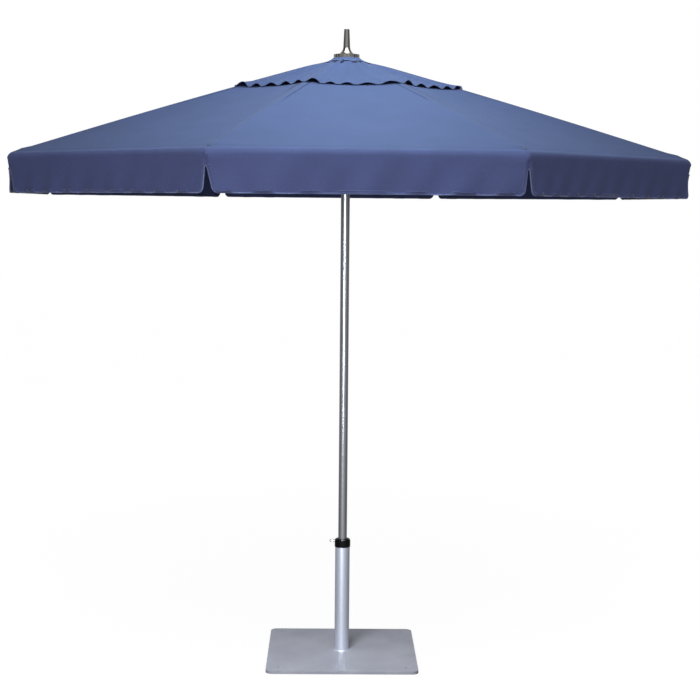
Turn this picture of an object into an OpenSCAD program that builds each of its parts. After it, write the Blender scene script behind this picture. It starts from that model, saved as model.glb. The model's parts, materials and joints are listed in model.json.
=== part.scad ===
// Eight-sided market umbrella with a push-up runner, standing in a square steel base.
// Millimetres, +Z up. The origin is on the ground, under the middle of the base plate.
// The plate's edges lie along X and Y, and one side of the canopy faces -Y, turned by
// umbrella_turn. Rib k stands between canopy sides k and k + 1, and side 1 is the front.
//
// The fold is exact: the pins at the crown and at the runner are equally far from the axis,
// and a strut is as long as the line from the crown pin to the strut's pin on the rib. So a
// strut turns back at twice the rib's angle, and the runner stays on the pole at every angle.

/* [Canopy] */
// Distance from the pole's axis to a corner of the canopy
canopy_r = 1370; // [1000:5:1700]
// Height of the fold between canopy and valance above the ground
rim_z = 2036; // [1690:1:2450]
// Slope of the ribs below horizontal, in degrees
rib_pitch = 17; // [12:0.5:24]
// Turn of the umbrella in its base, in degrees, anticlockwise from above
umbrella_turn = 2.8; // [-22:0.1:22]
// Corner radius of the vent hole in the main canopy
vent_hole_r = 360; // [250:5:430]
// Corner radius of the vent flap's lower edge
vent_flap_r = 482; // [450:1:600]
// Height of the vent flap over the line of the main canopy
vent_lift = 3.5; // [2.5:0.1:8]
// Drop of the valance from the fold to its hem
valance_h = 143; // [80:1:220]
// Radius of the valance's rounded lower corners
valance_corner_r = 35; // [5:1:60]
// Thickness of the canvas
fabric_t = 1.5; // [0.8:0.1:2]
// Gap between two neighbouring pieces of canvas
seam_gap = 1.2; // [0.8:0.1:3]

/* [Ribs and struts] */
// Distance of the hinge pins at crown and runner from the pole's axis
pivot_r = 42; // [40:0.5:50]
// Width of a rib
rib_w = 10; // [8:0.5:11]
// Depth of a rib
rib_h = 14; // [12:0.5:18]
// Wall of the rib tube
rib_wall = 1.2; // [0.8:0.1:2]
// Clearance from the canvas's top face down to the rib
rib_drop = 3.5; // [3:0.1:8]
// Distance along the rib from the crown pin to the strut's pin
strut_at = 700; // [550:5:800]
// Gap between a rib's underside and the top of the strut's eye
strut_gap = 7; // [5:0.5:12]
// Width of a strut
strut_w = 8; // [6:0.5:9]
// Depth of a strut
strut_h = 12; // [10:0.5:14]
// Wall of the strut's channel
strut_wall = 1.5; // [1:0.1:2]
// Thickness of the saddle's two ears on the rib
saddle_t = 2; // [1.5:0.1:3]
// Length of the saddle along the rib
saddle_l = 40; // [30:1:60]
// Diameter of every hinge pin
pin_d = 4; // [3:0.1:5]
// Radial clearance of a turning joint
pin_clear = 0.05; // [0.02:0.01:0.1]
// Clearance beside a rib or strut in its slot
slot_clear = 0.6; // [0.4:0.1:1]
// Distance from the rib's tip to the canopy's corner
tip_gap = 12; // [10:1:30]
// Length of the plastic cap on the rib's tip
tip_cap_l = 12; // [8:1:20]

/* [Pole, crown and runner] */
// Outer diameter of the pole
pole_d = 36; // [32:0.1:40]
// Wall of the pole
pole_wall = 1.6; // [1.2:0.1:2.5]
// Reach of the crown and the runner outside their pins
hub_rim = 10; // [8:0.5:16]
// Thickness of the crown's closed top
crown_lid = 4; // [3:0.5:8]
// Depth of the crown below its pins
crown_down = 16; // [10:0.5:24]
// Height of the runner above the struts' eyes
runner_lip = 5; // [2:0.5:10]
// Thickness of the runner's floor
runner_floor = 3; // [2:0.5:6]
// Length of the runner's sleeve below the flange
runner_sleeve_h = 28; // [16:1:45]
// Wall of the runner's sleeve
runner_sleeve_wall = 6; // [4:0.5:10]
// Radial clearance of the runner on the pole
slide_clear = 0.08; // [0.02:0.01:0.1]
// Diameter of the lock pin
lock_pin_d = 6; // [5:0.5:8]
// Length of the lock pin that stands out of the pole
lock_pin_proud = 9; // [6:0.5:14]
// Radius of the pull ring on the lock pin
pull_ring_r = 9; // [6:0.5:14]

/* [Top cap and finial] */
// Width of the top cap's sloping skirt, seen from above
cap_skirt = 18; // [14:1:55]
// Diameter of the notched disc
disc_d = 104; // [80:1:112]
// Thickness of the notched disc
disc_t = 14; // [8:0.5:18]
// Number of notches around the disc
disc_notches = 24; // [16:1:48]
// Radius of a notch
notch_r = 3; // [1:0.1:4]
// Height of the finial over the disc
finial_h = 100; // [70:1:130]
// Radius of the finial's foot
finial_foot_r = 30.5; // [24:0.5:36]
// Radius of the finial's stalk at its foot
finial_stalk_r = 13.5; // [11:0.5:16]
// Radius of the finial's flat top
finial_top_r = 10.8; // [8:0.1:14]
// Height of the finial's flared foot
finial_flare_h = 40; // [25:1:55]
// Diameter of the stud that holds the finial
stud_d = 10; // [8:0.5:12]

/* [Base] */
// Width of the square base plate
plate_w = 610; // [450:5:760]
// Thickness of the base plate
plate_t = 12; // [8:0.5:20]
// Radius of the base plate's corners
plate_corner_r = 28; // [10:1:60]
// Distance of the bolt holes from the plate's edges
bolt_inset = 50; // [30:1:70]
// Diameter of the bolt holes
bolt_hole_d = 10; // [8:0.5:14]
// Distance of the glides from the plate's edges
glide_inset = 95; // [90:1:120]
// Diameter of a glide
glide_d = 30; // [20:1:40]
// Thickness of a glide
glide_t = 2; // [1:0.5:6]

/* [Stem and collar] */
// Outer diameter of the stem
stem_d = 60.3; // [56:0.1:76]
// Wall of the stem
stem_wall = 3; // [2:0.1:4]
// Length of the stem above the plate
stem_l = 440; // [300:1:520]
// Size of the weld at the foot of the stem
weld = 3; // [2:0.5:6]
// Wall of the plastic sleeve in the stem
sleeve_wall = 2; // [1.5:0.1:3]
// Length of the guide at each end of the sleeve
sleeve_guide_l = 40; // [20:1:80]
// Wall of the collar's skirt, outside the stem
collar_wall = 2.4; // [1.5:0.1:5]
// Height of the collar over the top of the stem
collar_up = 30.5; // [26:0.5:50]
// Reach of the collar's skirt down over the stem
collar_skirt = 4.5; // [3:0.5:12]
// Radius of the collar's rounded rim
collar_round = 10; // [5:0.5:12]
// Radius of the collar's lower edge
collar_foot_round = 2; // [0.5:0.5:4]
// Clearance between the collar and the pole
collar_clear = 0.6; // [0.3:0.1:1]
// Depth of the notch at the front of the collar
collar_notch_h = 8; // [6:0.5:16]
// Width of the notch at its top
collar_notch_w = 22; // [4:0.5:26]
// Diameter of the clamp screw
clamp_d = 6; // [5:0.5:8]
// Height of the clamp screw over the top of the stem
clamp_up = 20; // [12:0.5:24]
// Radius of the wire loop on the clamp screw
loop_r = 9; // [6:0.5:10]
// Diameter of the loop's wire
loop_wire_d = 2.5; // [2:0.1:3]
// Turn of the loop out of the vertical, as the screw was left
loop_tilt = 35; // [0:1:180]

/* [Hidden] */
SIDES = 8;
$fn = 96;
fine = 32;                 // facets of a small round
kiss = 0.02;               // clearance between two fixed pieces
air = 0.3;                 // clearance between two pieces that only lie close
eye_room = 2;              // room around a hinge eye in its slot
step = 360 / SIDES;
half = step / 2;

pole_r = pole_d / 2;
pin_r = pin_d / 2;
stem_r = stem_d / 2;
collar_r = stem_r + kiss + collar_wall;

plate_top = glide_t + plate_t;
stem_top = plate_top + stem_l;

// The canvas lies on a pyramid: its point, and the slope up the middle of a side
apex_z = rim_z + canopy_r * tan(rib_pitch);
side_pitch = atan(tan(rib_pitch) / cos(half));
apothem = canopy_r * cos(half);

// The crown's pins lie on the rib's middle line, rib_drop and half a rib under the canvas
crown_z = apex_z - pivot_r * tan(rib_pitch) - (rib_drop + rib_h / 2) / cos(rib_pitch);
crown_up = rib_h / 2 + eye_room + crown_lid;
crown_top = crown_z + crown_up;
hub_r = pivot_r + hub_rim;
rib_l = (canopy_r - pivot_r) / cos(rib_pitch) - tip_gap;

// The strut, and the runner's height that it gives
strut_offset = rib_h / 2 + strut_gap + strut_h / 2;
strut_l = sqrt(strut_at * strut_at + strut_offset * strut_offset);
strut_pitch = rib_pitch + atan(strut_offset / strut_at);
runner_z = crown_z - 2 * strut_l * sin(strut_pitch);
runner_up = strut_h / 2 + runner_lip;
runner_down = strut_h / 2 + eye_room + runner_floor;
runner_bottom = runner_z - runner_down - runner_sleeve_h;
lock_z = runner_bottom - air - lock_pin_d / 2;

pole_foot = plate_top + 1;
plug_flange = 4;
cap_flat_r = hub_r + 4;
cap_r = cap_flat_r + cap_skirt;
cap_top = crown_top + fabric_t + kiss;
vent_top_r = cap_flat_r + 8;
disc_z = cap_top + kiss;
finial_z = disc_z + disc_t + kiss;
clamp_z = stem_top + clamp_up;

// ---- Places ----

// Turns the children from +X to the middle of canopy side k
module on_side(k) rotate(umbrella_turn - 90 + step * (k - 1)) children();

// Turns the children from +X to rib k
module on_rib(k) rotate(umbrella_turn - 90 + step * (k - 1) + half) children();

// A round bar along Y, from -l / 2 to l / 2
module cross_bar(r, l) rotate([90, 0, 0]) cylinder(r = r, h = l, center = true, $fn = fine);

// A wire ring that lies in the XZ plane
module wire_ring(r, wire_d)
    rotate([90, 0, 0]) rotate_extrude() translate([r, 0]) circle(d = wire_d, $fn = fine);

// ---- Base ----

module plate_corners(inset)
    for (x = [-1, 1], y = [-1, 1])
        translate([x * (plate_w / 2 - inset), y * (plate_w / 2 - inset), 0]) children();

// The steel plate, with a hole for a ground bolt near each corner
module base_plate() color("slategray")
    translate([0, 0, glide_t]) difference() {
        union() {
            translate([0, 0, plate_t / 2]) {
                cube([plate_w - 2 * plate_corner_r, plate_w, plate_t], center = true);
                cube([plate_w, plate_w - 2 * plate_corner_r, plate_t], center = true);
            }
            plate_corners(plate_corner_r) cylinder(r = plate_corner_r, h = plate_t);
        }
        plate_corners(bolt_inset)
            translate([0, 0, -1]) cylinder(d = bolt_hole_d, h = plate_t + 2, $fn = fine);
    }

module base_glides() color("black")
    plate_corners(glide_inset) cylinder(d = glide_d, h = glide_t);

module stem_tube() color("silver")
    translate([0, 0, plate_top]) difference() {
        cylinder(r = stem_r, h = stem_l);
        translate([0, 0, -1]) cylinder(r = stem_r - stem_wall, h = stem_l + 2);
    }

// A round bead of weld around the foot of the stem
module stem_weld() color("silver")
    translate([0, 0, plate_top]) rotate_extrude()
        polygon(concat([[stem_r + kiss, 0]],
            [for (a = [0 : 15 : 90]) [stem_r + kiss + weld * cos(a), weld * sin(a)]]));

// A liner that turns in the stem, with a guide for the pole at each end
module stem_sleeve() color("dimgray") {
    outer = stem_r - stem_wall - pin_clear;
    bore = pole_r + slide_clear;
    inner = outer - sleeve_wall;
    low = plate_top + air;
    high = stem_top - air;
    rotate_extrude() polygon([
        [bore, low], [outer, low], [outer, high], [bore, high], [bore, high - sleeve_guide_l],
        [inner, high - sleeve_guide_l], [inner, low + sleeve_guide_l],
        [bore, low + sleeve_guide_l]]);
}

// The collar caps the stem. Its rim is notched at the front, and tapped for the clamp screw
module stem_collar() color("black") difference() {
    bore = pole_r + collar_clear;
    top = stem_top + collar_up;
    foot = stem_top - collar_skirt;
    foot_edge = 0.5;       // flat left on the skirt's lower edge
    foot_round = min(collar_foot_round, collar_wall - foot_edge);
    rotate_extrude() polygon(concat(
        [[stem_r + kiss, foot]],
        [for (a = [0 : 30 : 90]) [collar_r - foot_round * (1 - sin(a)),
                                  foot + foot_round * (1 - cos(a))]],
        [for (a = [0 : 15 : 90]) [collar_r - collar_round * (1 - cos(a)),
                                  top - collar_round * (1 - sin(a))]],
        [[bore, top], [bore, stem_top + kiss], [stem_r + kiss, stem_top + kiss]]));
    translate([0, 0, top - collar_notch_h]) rotate([90, 0, 0]) linear_extrude(2 * collar_r)
        polygon([[0, 0], [collar_notch_w, 2 * collar_notch_h],
                 [-collar_notch_w, 2 * collar_notch_h]]);
    translate([0, 0, clamp_z]) rotate([0, -90, 0])
        cylinder(r = clamp_d / 2 + pin_clear, h = 2 * collar_r, $fn = fine);
}

// The clamp screw points at the pole from -X, and a wire loop on its head turns it
module clamp_screw() color("gainsboro") translate([0, 0, clamp_z]) {
    head = 4;
    far = collar_r + kiss + air;
    rotate([0, -90, 0]) {
        translate([0, 0, pole_r + 2 * air])
            cylinder(d = clamp_d, h = far + head - pole_r - 2 * air, $fn = fine);
        translate([0, 0, far]) cylinder(d = clamp_d + 2, h = head, $fn = fine);
    }
    translate([-(far + loop_r + loop_wire_d / 2), 0, 0]) rotate([loop_tilt, 0, 0])
        wire_ring(loop_r, loop_wire_d);
}

// ---- Pole ----

module pole() color("lightgray") difference() {
    low = pole_foot + plug_flange;
    translate([0, 0, low]) cylinder(r = pole_r, h = crown_top - crown_lid - low);
    translate([0, 0, low - 1]) cylinder(r = pole_r - pole_wall, h = crown_top - low + 2);
    on_side(2) translate([0, 0, lock_z]) rotate([0, 90, 0])
        cylinder(r = lock_pin_d / 2 + pin_clear, h = 2 * pole_d, center = true, $fn = fine);
}

module pole_plug() color("black") translate([0, 0, pole_foot]) {
    cylinder(r = pole_r, h = plug_flange - kiss);
    cylinder(r = pole_r - pole_wall - kiss, h = plug_flange + pole_d);
}

module pole_top_plug() color("dimgray") difference() {
    top = crown_top - crown_lid - kiss;
    translate([0, 0, top - pole_d]) cylinder(r = pole_r - pole_wall - kiss, h = pole_d);
    translate([0, 0, top - pole_d - 1]) cylinder(d = stud_d + 2 * kiss, h = pole_d + 2);
}

// The pin goes through the pole under the open runner, with a ring to pull it by
module lock_pin() color("gainsboro") on_side(2) translate([0, 0, lock_z]) {
    wire_d = 2.4;
    translate([-pole_r - lock_pin_proud, 0, 0]) rotate([0, 90, 0])
        cylinder(d = lock_pin_d, h = pole_d + 2 * lock_pin_proud, $fn = fine);
    translate([pole_r + lock_pin_proud + pull_ring_r - wire_d / 2, 0, 0])
        wire_ring(pull_ring_r, wire_d);
}

// ---- Crown and runner ----

// Eight slots in a hub, cut outwards from the pins' inner side, between two heights
module hub_slots(w, low, high) {
    inner = pivot_r - rib_h / 2 - eye_room;
    for (k = [1 : SIDES]) on_rib(k)
        translate([inner, -w / 2 - slot_clear, low])
            cube([hub_r, w + 2 * slot_clear, high - low]);
}

function pin_l(w) = w + 2 * slot_clear + 2 * pin_d;

module hub_pins(w, r) for (k = [1 : SIDES]) on_rib(k)
    translate([pivot_r, 0, 0]) cross_bar(r, pin_l(w));

module crown_hub() color("dimgray") translate([0, 0, crown_z]) difference() {
    translate([0, 0, -crown_down]) cylinder(r = hub_r, h = crown_down + crown_up);
    translate([0, 0, -crown_down - 1])
        cylinder(r = pole_r + kiss, h = crown_down + crown_up - crown_lid + 1);
    cylinder(d = stud_d + 2 * kiss, h = 2 * crown_up, $fn = fine);
    hub_slots(rib_w, -crown_down - 1, crown_up - crown_lid);
    hub_pins(rib_w, pin_r + kiss);
}

module crown_pins() color("gainsboro") translate([0, 0, crown_z]) hub_pins(rib_w, pin_r);

module runner_hub() color("dimgray") translate([0, 0, runner_z]) difference() {
    union() {
        translate([0, 0, -runner_down]) cylinder(r = hub_r, h = runner_down + runner_up);
        translate([0, 0, -runner_down - runner_sleeve_h])
            cylinder(r = pole_r + slide_clear + runner_sleeve_wall, h = runner_sleeve_h + 1);
    }
    translate([0, 0, -runner_down - runner_sleeve_h - 1])
        cylinder(r = pole_r + slide_clear, h = runner_down + runner_sleeve_h + runner_up + 2);
    hub_slots(strut_w, -strut_h / 2 - eye_room, runner_up + 1);
    hub_pins(strut_w, pin_r + kiss);
}

module runner_pins() color("gainsboro")
    translate([0, 0, runner_z]) hub_pins(strut_w, pin_r);

// ---- Ribs and struts ----

// One ear of the saddle, drawn in the rib's own XZ plane
module ear() {
    boss = strut_h / 2;
    rotate([90, 0, 0]) linear_extrude(saddle_t, center = true) {
        translate([strut_at, -strut_offset]) circle(r = boss, $fn = fine);
        polygon([
            [strut_at - saddle_l / 2, rib_h / 2 - 1], [strut_at + saddle_l / 2, rib_h / 2 - 1],
            [strut_at + saddle_l / 2, -rib_h / 2], [strut_at + boss, -strut_offset],
            [strut_at - boss, -strut_offset], [strut_at - saddle_l / 2, -rib_h / 2]]);
    }
}

// A rib along +X from its eye at the origin: tube, saddle and rivet, and a cap in its tip
module rib_shape() {
    solid_l = 2 * rib_h;
    tube_l = rib_l - tip_cap_l;
    outside = rib_w + 2 * saddle_t;
    difference() {
        union() {
            cross_bar(rib_h / 2, rib_w);
            translate([0, -rib_w / 2, -rib_h / 2]) cube([tube_l, rib_w, rib_h]);
        }
        translate([solid_l, rib_wall - rib_w / 2, rib_wall - rib_h / 2])
            cube([tube_l, rib_w - 2 * rib_wall, rib_h - 2 * rib_wall]);
        cross_bar(pin_r + pin_clear, rib_w + 2);
    }
    for (s = [-1, 1]) translate([0, s * (rib_w + saddle_t) / 2, 0]) ear();
    translate([strut_at, 0, -strut_offset]) {
        cross_bar(pin_r, outside + 2);
        for (s = [-1, 1]) translate([0, s * (outside / 2 + 0.5), 0]) cross_bar(pin_d, 1);
    }
    translate([tube_l + kiss, -rib_w / 2, -rib_h / 2]) cube([tip_cap_l, rib_w, rib_h]);
    translate([tube_l - tip_cap_l, rib_wall + kiss - rib_w / 2, rib_wall + kiss - rib_h / 2])
        cube([2 * tip_cap_l, rib_w - 2 * (rib_wall + kiss), rib_h - 2 * (rib_wall + kiss)]);
}

module rib(k) color("silver") on_rib(k)
    translate([pivot_r, 0, crown_z]) rotate([0, rib_pitch, 0]) rib_shape();

// A strut along +X: a channel that is open below, with an eye at each end
module strut_shape() {
    solid_l = strut_h;
    difference() {
        union() {
            cross_bar(strut_h / 2, strut_w);
            translate([0, -strut_w / 2, -strut_h / 2]) cube([strut_l, strut_w, strut_h]);
            translate([strut_l, 0, 0]) cross_bar(strut_h / 2, strut_w);
        }
        translate([solid_l, strut_wall - strut_w / 2, -strut_h / 2 - 1])
            cube([strut_l - 2 * solid_l, strut_w - 2 * strut_wall, strut_h - strut_wall + 1]);
        cross_bar(pin_r + pin_clear, strut_w + 2);
        translate([strut_l, 0, 0]) cross_bar(pin_r + pin_clear, strut_w + 2);
    }
}

module strut(k) color("silver") on_rib(k)
    translate([pivot_r, 0, runner_z]) rotate([0, -strut_pitch, 0]) strut_shape();

// ---- Canvas ----

// A flat piece of one side between two corner radii, its top face lift above the pyramid
module gore(k, inner_r, outer_r, lift) on_side(k)
    translate([0, 0, apex_z + lift]) rotate([0, side_pitch, 0])
        translate([0, 0, -fabric_t]) linear_extrude(fabric_t) {
            x1 = inner_r * cos(half) / cos(side_pitch);
            x2 = outer_r * cos(half) / cos(side_pitch) - fabric_t;
            y1 = inner_r * sin(half) - seam_gap / 2;
            y2 = (x2 * cos(side_pitch)) * tan(half) - seam_gap / 2;
            polygon([[x1, -y1], [x2, -y2], [x2, y2], [x1, y1]]);
        }

module canopy_panel(k) color("steelblue") gore(k, vent_hole_r, canopy_r, 0);

module vent_panel(k) color("royalblue") gore(k, vent_top_r, vent_flap_r, vent_lift);

// A valance hangs from one side's fold, with its two lower corners rounded
module valance(k) color("darkslateblue") on_side(k) {
    w = (apothem - fabric_t) * tan(half) - seam_gap / 2;
    r = valance_corner_r;
    h = valance_h - 2 * fabric_t;
    translate([apothem - fabric_t, 0, rim_z - valance_h]) rotate([90, 0, 90])
        linear_extrude(fabric_t) {
            translate([-w, r]) square([2 * w, h - r]);
            translate([r - w, 0]) square([2 * (w - r), h]);
            for (s = [-1, 1]) translate([s * (w - r), r]) circle(r = r);
        }
}

// The cap is pinched between crown and disc, and its skirt covers the vent flap's top
module top_cap() color("steelblue") {
    hem_z = apex_z - cap_r * tan(rib_pitch) + vent_lift + fabric_t + air;
    rotate_extrude() polygon([
        [stud_d / 2 + kiss, cap_top - fabric_t], [cap_flat_r, cap_top - fabric_t],
        [cap_r, hem_z - fabric_t], [cap_r, hem_z], [cap_flat_r, cap_top],
        [stud_d / 2 + kiss, cap_top]]);
}

// ---- Finial ----

module finial_disc() color("silver") translate([0, 0, disc_z])
    linear_extrude(disc_t) difference() {
        circle(d = disc_d);
        circle(d = stud_d + 2 * kiss);
        for (i = [0 : disc_notches - 1]) rotate(i * 360 / disc_notches)
            translate([disc_d / 2, 0]) circle(r = notch_r, $fn = 16);
    }

// A slim round post that flares out to its foot, drilled for the stud
module finial() color("gainsboro") translate([0, 0, finial_z]) difference() {
    flare = finial_foot_r - finial_stalk_r;
    rotate_extrude() polygon(concat(
        [[0, 0], [finial_foot_r, 0]],
        [for (t = [0 : 0.1 : 1]) [finial_stalk_r + flare * pow(1 - t, 3),
                                  2 + (finial_flare_h - 2) * t]],
        [[finial_top_r, finial_h], [0, finial_h]]));
    translate([0, 0, -1]) cylinder(d = stud_d + 2 * kiss, h = finial_h / 2 + 1);
}

module finial_stud() color("gray") {
    low = crown_top - crown_lid - 0.8 * pole_d;
    translate([0, 0, low]) cylinder(d = stud_d, h = finial_z + finial_h / 2 - 1 - low);
}

base_plate();
base_glides();
stem_tube();
stem_weld();
stem_collar();
stem_sleeve();
clamp_screw();
pole();
pole_plug();
pole_top_plug();
lock_pin();
crown_hub();
crown_pins();
runner_hub();
runner_pins();
top_cap();
finial_disc();
finial();
finial_stud();
for (k = [1 : SIDES]) {
    rib(k);
    strut(k);
    canopy_panel(k);
    vent_panel(k);
    valance(k);
}
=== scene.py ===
# %% [markdown]
# # A market umbrella on a steel base
# The metal and plastic parts of this umbrella come from a CAD model, and they stay as they are:
# Blender gives them their finishes. The canvas is different. Real canvas is cut flat, sewn and
# pulled over ribs, and a CAD sheet shows none of that, so every piece of canvas is built here.
# The first step loads the CAD model.

# %% Load the CAD frame
import json
import math

import bmesh
import bpy
import numpy as np
from mathutils import Matrix, Vector, noise

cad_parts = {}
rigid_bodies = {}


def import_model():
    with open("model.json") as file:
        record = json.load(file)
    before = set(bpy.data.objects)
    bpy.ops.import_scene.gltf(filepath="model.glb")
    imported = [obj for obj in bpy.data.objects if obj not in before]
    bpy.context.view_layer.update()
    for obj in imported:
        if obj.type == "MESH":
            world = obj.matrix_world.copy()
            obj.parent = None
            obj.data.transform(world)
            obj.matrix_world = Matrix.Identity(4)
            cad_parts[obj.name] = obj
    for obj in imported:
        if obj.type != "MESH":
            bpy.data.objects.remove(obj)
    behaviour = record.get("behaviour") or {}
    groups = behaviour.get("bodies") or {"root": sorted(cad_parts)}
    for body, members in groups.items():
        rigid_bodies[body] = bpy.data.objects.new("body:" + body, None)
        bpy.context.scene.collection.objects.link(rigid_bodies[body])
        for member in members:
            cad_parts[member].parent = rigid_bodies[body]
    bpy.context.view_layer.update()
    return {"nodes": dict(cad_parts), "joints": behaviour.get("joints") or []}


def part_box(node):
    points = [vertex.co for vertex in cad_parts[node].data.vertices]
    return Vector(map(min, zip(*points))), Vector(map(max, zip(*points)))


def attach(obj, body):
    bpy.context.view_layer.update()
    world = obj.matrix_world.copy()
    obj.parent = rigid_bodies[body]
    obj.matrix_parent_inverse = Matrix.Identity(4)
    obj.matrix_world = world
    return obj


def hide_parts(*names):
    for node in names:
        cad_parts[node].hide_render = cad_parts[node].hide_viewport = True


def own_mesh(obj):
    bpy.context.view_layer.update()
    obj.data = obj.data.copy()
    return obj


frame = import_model()
MM = 0.001

# %% [markdown]
# ## Where everything is
# The joints of the CAD model say where the umbrella's parts are: a side of the canopy turns at
# the crown, and its valance turns at the fold. Reading the sizes from there, instead of typing
# them again, keeps the canvas on its ribs if the model ever changes.

# %% Read the canopy's sizes from the joints
SIDES = 8
STEP = 2 * math.pi / SIDES
HALF = STEP / 2
joints = {joint["name"]: joint for joint in frame["joints"]}


def reach(joint):
    """How far a joint is from the pole's axis, and how high."""
    x, y, z = joints[joint]["pos_m"]
    return math.hypot(x, y), z


def azimuth(joint):
    """The direction in which a hinge's arm points, from its tangent axis."""
    x, y, _ = joints[joint]["axis"]
    return math.atan2(-x, y)


APOTHEM, RIM_Z = reach("skirt_1_fold")
FRONT = azimuth("skirt_1_fold")


def outward(angle):
    return np.array([math.cos(angle), math.sin(angle), 0.0])


def sideways(angle):
    return np.array([-math.sin(angle), math.cos(angle), 0.0])


def side_angle(k):
    return FRONT + STEP * (k - 1)


def rib_angle(k):
    return side_angle(k) + HALF


# %% Read the slopes and edges from the canvas blanks


def points_of(node):
    return np.array([v.co for v in frame["nodes"][node].data.vertices], float)


def outward_range(node, k):
    """The nearest and furthest that a node reaches along side k's direction."""
    along = points_of(node) @ outward(side_angle(k))
    return along.min(), along.max()


HOLE_OUT = outward_range("canopy_panel_1", 1)[0]
VENT_IN, VENT_OUT = outward_range("vent_panel_1", 1)
blank = points_of("canopy_panel_1")
crest = blank[blank[:, 2].argmax()]
SIDE_SLOPE = (crest[2] - RIM_Z) / (APOTHEM - crest @ outward(FRONT))
VENT_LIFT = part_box("vent_panel_1")[1].z - (RIM_Z + (APOTHEM - VENT_IN) * SIDE_SLOPE)
HEM_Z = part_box("valance_1")[0].z
DROP = RIM_Z - HEM_Z
print(f"side slope {math.degrees(math.atan(SIDE_SLOPE)):.1f} deg, valance drop {DROP:.3f} m,"
      f" vent flap {VENT_LIFT / MM:.1f} mm over the canopy")

# %% [markdown]
# ## Two helpers for materials
# Colours are written as the sRGB hex values that a paint chart gives, and Blender's shaders want
# linear light, so one function converts them. Every material is a small graph of nodes, and one
# function adds a node with its settings and its links. It is the only one the materials need.

# %% Colour and node helpers


def linear(hex_colour):
    """An sRGB hex colour as linear RGBA."""
    channels = [int(hex_colour[i:i + 2], 16) / 255 for i in (1, 3, 5)]
    return [c / 12.92 if c <= 0.04045 else ((c + 0.055) / 1.055) ** 2.4 for c in channels] + [1]


def add_node(tree, kind, settings=None, links=None):
    """Adds a node. Settings name an input or a property, and links map an input to an output."""
    node = tree.nodes.new("ShaderNode" + kind)
    for name, value in (settings or {}).items():
        if name in node.inputs:
            node.inputs[name].default_value = value
        else:
            setattr(node, name, value)
    for name, source in (links or {}).items():
        tree.links.new(source, node.inputs[name])
    return node


def ramp(tree, factor, stops):
    """A colour ramp with (place, hex colour) stops."""
    node = add_node(tree, "ValToRGB", links={"Fac": factor})
    elements = node.color_ramp.elements
    for element, (place, colour) in zip(elements, (stops[0], stops[-1])):
        element.position, element.color = place, linear(colour)
    for place, colour in stops[1:-1]:
        elements.new(place).color = linear(colour)
    return node.outputs["Color"]


def finish(name, settings, colour=None, roughness=None, height=None, bump_mm=0.1, strength=0.5):
    """A material with one Principled shader. build(tree) functions give its varying inputs."""
    material = bpy.data.materials.new(name)
    material.use_nodes = True
    tree = material.node_tree
    tree.nodes.clear()
    shader = add_node(tree, "BsdfPrincipled", settings)
    output = add_node(tree, "OutputMaterial", links={"Surface": shader.outputs["BSDF"]})
    output.location = (300, 0)
    if colour:
        tree.links.new(colour(tree), shader.inputs["Base Color"])
    if roughness:
        tree.links.new(roughness(tree), shader.inputs["Roughness"])
    if height:
        bump = add_node(tree, "Bump", {"Strength": strength, "Distance": bump_mm * MM},
                        {"Height": height(tree)})
        tree.links.new(bump.outputs["Normal"], shader.inputs["Normal"])
    material.diffuse_color = settings.get("Base Color", (0.5, 0.5, 0.5, 1))
    return material


def noise_of(tree, size_mm, detail=2.0, stretch=(1, 1, 1), coords="Object"):
    """Noise whose lumps are about size_mm across, longer along an axis where stretch is small."""
    place = add_node(tree, "TexCoord").outputs[coords]
    scaled = add_node(tree, "Mapping", {"Scale": [s / (size_mm * MM) for s in stretch]},
                      {"Vector": place})
    return add_node(tree, "TexNoise", {"Scale": 1.0, "Detail": detail},
                    {"Vector": scaled.outputs["Vector"]}).outputs["Fac"]


print("helpers ready; #808080 in linear light is", round(linear("#808080")[0], 3))

# %% [markdown]
# ## Canvas
# Umbrella canvas is solution-dyed acrylic: thick matt yarn, woven plain, dyed before spinning, so
# the colour goes right through. What the eye gets is a soft navy blue with a faint cloudiness,
# a small grain where warp crosses weft, and a pale sheen at grazing angles. The yarns are about
# 0.5 mm apart, too fine to show, so the weave is drawn at 3 mm. The weave follows the UV map,
# which holds metres of cloth, so it turns with each piece as the cut does.

# %% Canvas material
THREAD_MM = 3.0
CANVAS_MID = "#47507B"
CANVAS_DARK = "#454E78"
CANVAS_LIGHT = "#49527F"


def weave(tree):
    """Warp and weft as two sets of bands. A wave's period is 2 pi / 20 at scale 1."""
    cloth = add_node(tree, "TexCoord").outputs["UV"]
    scale = 2 * math.pi / 20 / (THREAD_MM * MM)
    bands = [add_node(tree, "TexWave", {"bands_direction": axis, "Scale": scale,
                                        "Distortion": 0.6, "Detail": 1.0}, {"Vector": cloth})
             for axis in ("X", "Y")]
    crossed = add_node(tree, "Math", {"operation": "MULTIPLY"})
    for place, band in enumerate(bands):
        tree.links.new(band.outputs["Fac"], crossed.inputs[place])
    return crossed.outputs["Value"]


def canvas_colour(tree):
    cloud = noise_of(tree, 130, 4.0)
    clouded = ramp(tree, cloud, [(0.3, CANVAS_DARK), (0.5, CANVAS_MID), (0.72, CANVAS_LIGHT)])
    grain = noise_of(tree, 5, 2.0)
    grained = add_node(tree, "MixRGB", {"blend_type": "SOFT_LIGHT", "Fac": 0.2},
                       {"Color1": clouded, "Color2": ramp(tree, grain, [(0.3, "#5A5A5A"),
                                                                        (0.7, "#A8A8A8")])})
    shade = ramp(tree, weave(tree), [(0.0, "#8E8E8E"), (1.0, "#FFFFFF")])
    woven = add_node(tree, "MixRGB", {"blend_type": "MULTIPLY", "Fac": 0.16},
                     {"Color1": grained.outputs["Color"], "Color2": shade})
    return woven.outputs["Color"]


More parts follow.
